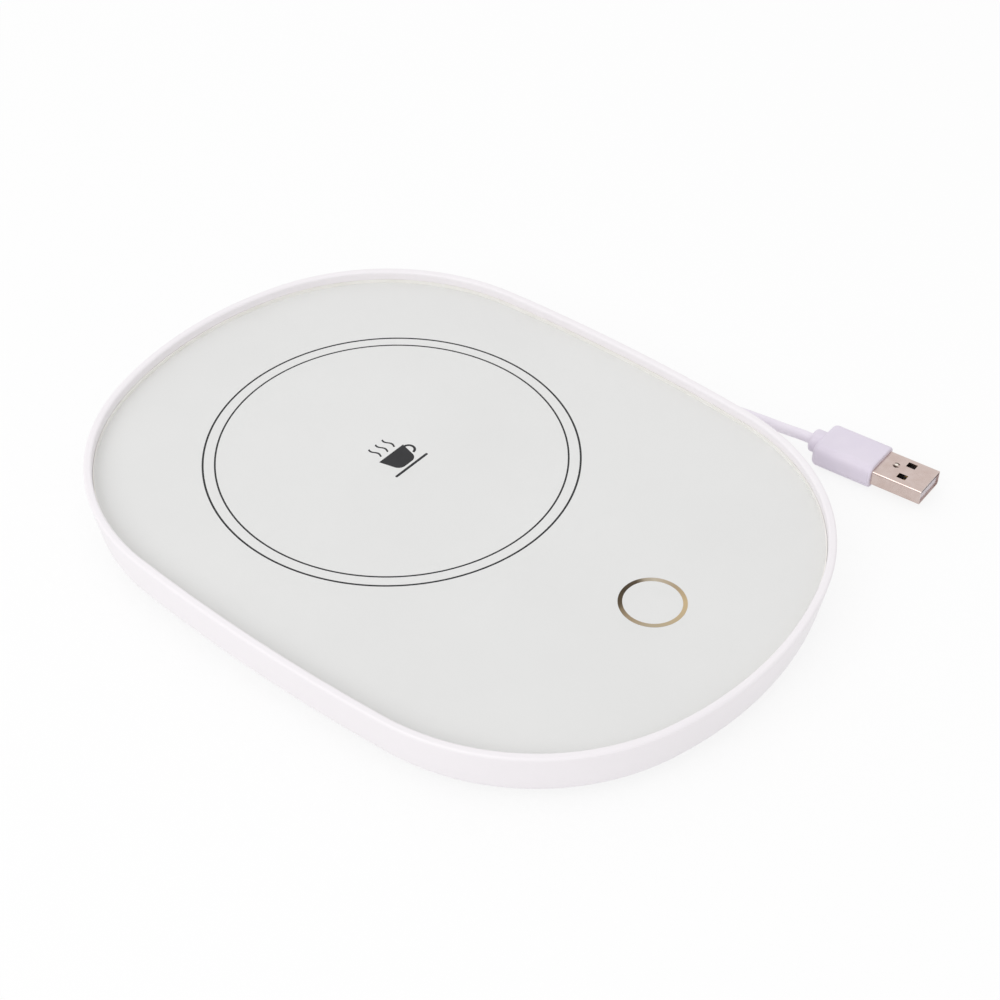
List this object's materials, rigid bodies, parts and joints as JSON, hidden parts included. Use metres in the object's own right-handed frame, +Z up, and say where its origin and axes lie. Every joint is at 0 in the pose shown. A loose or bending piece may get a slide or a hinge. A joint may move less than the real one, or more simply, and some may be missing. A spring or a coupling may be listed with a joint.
{
  "type": "electric mug warmer",
  "caption": "Flat oval warming plate: glass top in a raised white rim, a round heating zone, a touch key, and a thin cord with a USB-A plug.",
  "frame": {"origin": "on the table, under the middle of the oval body (cord and plug left out)", "axes": "+Z up through the glass; +Y along the body from the touch key to the heating zone; +X to the user's right, the side where the cord comes out"},
  "size_m": [0.1733, 0.1998, 0.0178],
  "materials": {
    "white_abs": "satin moulded ABS",
    "white_abs_matt": "fine-textured moulded ABS",
    "printed_glass": "toughened glass, printed white from below",
    "adhesive_film": "double-sided film",
    "aluminium_plate": "rolled",
    "polyimide_foil": "amber foil",
    "glass_felt": "needled felt",
    "zinc_plated_steel": "zinc plated",
    "screw_steel": "zinc plated",
    "sensor_glass": "glass bead",
    "fuse_can": "drawn can",
    "board_laminate": "solder mask",
    "chip_epoxy": "moulded epoxy",
    "capacitor_ceramic": "fired ceramic",
    "lamp_lens": "clear resin",
    "gold_plated_wire": "plated wire",
    "lead_insulation": "PVC insulation",
    "soft_pvc": "soft PVC",
    "cord_jacket": "PVC jacket",
    "nylon": "moulded nylon",
    "tie_strip": "plastic-coated wire",
    "grip_pvc": "moulded PVC",
    "nickel_plated_steel": "nickel plated",
    "tongue_plastic": "moulded PBT",
    "gold_plated_contact": "gold flash",
    "silicone": "translucent silicone"
  },
  "bodies": {
    "root": {"board_screws": "screw_steel", "bottom_cover": "white_abs_matt", "capacitors": "capacitor_ceramic", "clamp_screws": "screw_steel", "coil_ties": "tie_strip", "control_board": "board_laminate", "cord_clamp": "nylon", "cord_clamp_screws": "screw_steel", "cord_coil": "cord_jacket", "cord_grommet": "soft_pvc", "cord_inner": "cord_jacket", "cord_lead_in": "cord_jacket", "cord_lead_out": "cord_jacket", "cover_screws": "screw_steel", "foot_front_left": "silicone", "foot_front_right": "silicone", "foot_rear_left": "silicone", "foot_rear_right": "silicone", "glass_adhesive": "adhesive_film", "glass_panel": "printed_glass", "heat_spreader": "aluminium_plate", "heater_clamp": "zinc_plated_steel", "heater_foil": "polyimide_foil", "heater_leads": "lead_insulation", "housing": "white_abs", "insulation_pad": "glass_felt", "microcontroller": "chip_epoxy", "plug_contacts": "gold_plated_contact", "plug_grip": "grip_pvc", "plug_shell": "nickel_plated_steel", "plug_tongue": "tongue_plastic", "power_transistor": "chip_epoxy", "resistors": "chip_epoxy", "sensor_leads": "lead_insulation", "status_led": "lamp_lens", "supply_leads": "lead_insulation", "thermal_fuse": "fuse_can", "thermistor": "sensor_glass", "touch_spring": "gold_plated_wire"}
  },
  "joints": []
}
